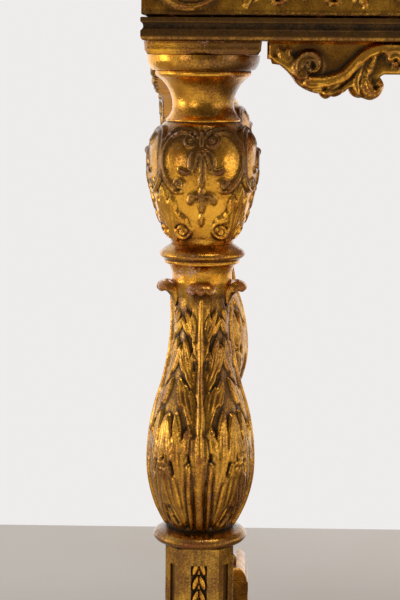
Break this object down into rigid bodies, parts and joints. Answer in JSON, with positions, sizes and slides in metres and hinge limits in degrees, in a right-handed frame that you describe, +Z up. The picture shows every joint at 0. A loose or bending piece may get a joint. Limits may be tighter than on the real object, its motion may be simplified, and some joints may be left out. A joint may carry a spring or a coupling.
{
  "type": "pier table",
  "caption": "Baroque giltwood pier table: carved vase and acanthus baluster legs, relief frieze, scrolled aprons, marble slab and serpentine cross stretcher.",
  "frame": {"origin": "on the floor under the middle of the slab", "axes": "+X along the front to the right, -Y to the front, +Z up"},
  "size_m": [1.216, 0.673, 0.84],
  "materials": {
    "gilding": "carved wood, gessoed and water-gilt over red bole, burnished, rubbed on edges and dark in recesses",
    "marble": "polished pale veined marble with soft worn edges",
    "pine": "bare aged pine, planed",
    "oak": "riven oak pegs"
  },
  "bodies": {
    "root": {"apron_glue_blocks": "pine", "back_left_abacus": "gilding", "back_left_baluster": "gilding", "back_left_foot": "gilding", "back_left_head": "gilding", "back_left_pillar": "gilding", "back_left_plinth": "gilding", "back_left_post": "pine", "back_left_stretcher_arm": "gilding", "back_rail": "pine", "back_right_abacus": "gilding", "back_right_baluster": "gilding", "back_right_foot": "gilding", "back_right_head": "gilding", "back_right_pillar": "gilding", "back_right_plinth": "gilding", "back_right_post": "pine", "back_right_stretcher_arm": "gilding", "front_apron": "gilding", "front_cornice": "gilding", "front_frieze": "gilding", "front_left_abacus": "gilding", "front_left_baluster": "gilding", "front_left_foot": "gilding", "front_left_head": "gilding", "front_left_pillar": "gilding", "front_left_plinth": "gilding", "front_left_post": "pine", "front_left_stretcher_arm": "gilding", "front_lower_moulding": "gilding", "front_rail": "pine", "front_right_abacus": "gilding", "front_right_baluster": "gilding", "front_right_foot": "gilding", "front_right_head": "gilding", "front_right_pillar": "gilding", "front_right_plinth": "gilding", "front_right_post": "pine", "front_right_stretcher_arm": "gilding", "left_apron": "gilding", "left_bearer": "pine", "left_cornice": "gilding", "left_frieze": "gilding", "left_lower_moulding": "gilding", "left_rail": "pine", "marble_slab": "marble", "right_apron": "gilding", "right_bearer": "pine", "right_cornice": "gilding", "right_frieze": "gilding", "right_lower_moulding": "gilding", "right_rail": "pine", "spigot_pegs": "oak", "stretcher_boss": "gilding", "stretcher_finial": "gilding"}
  },
  "joints": []
}
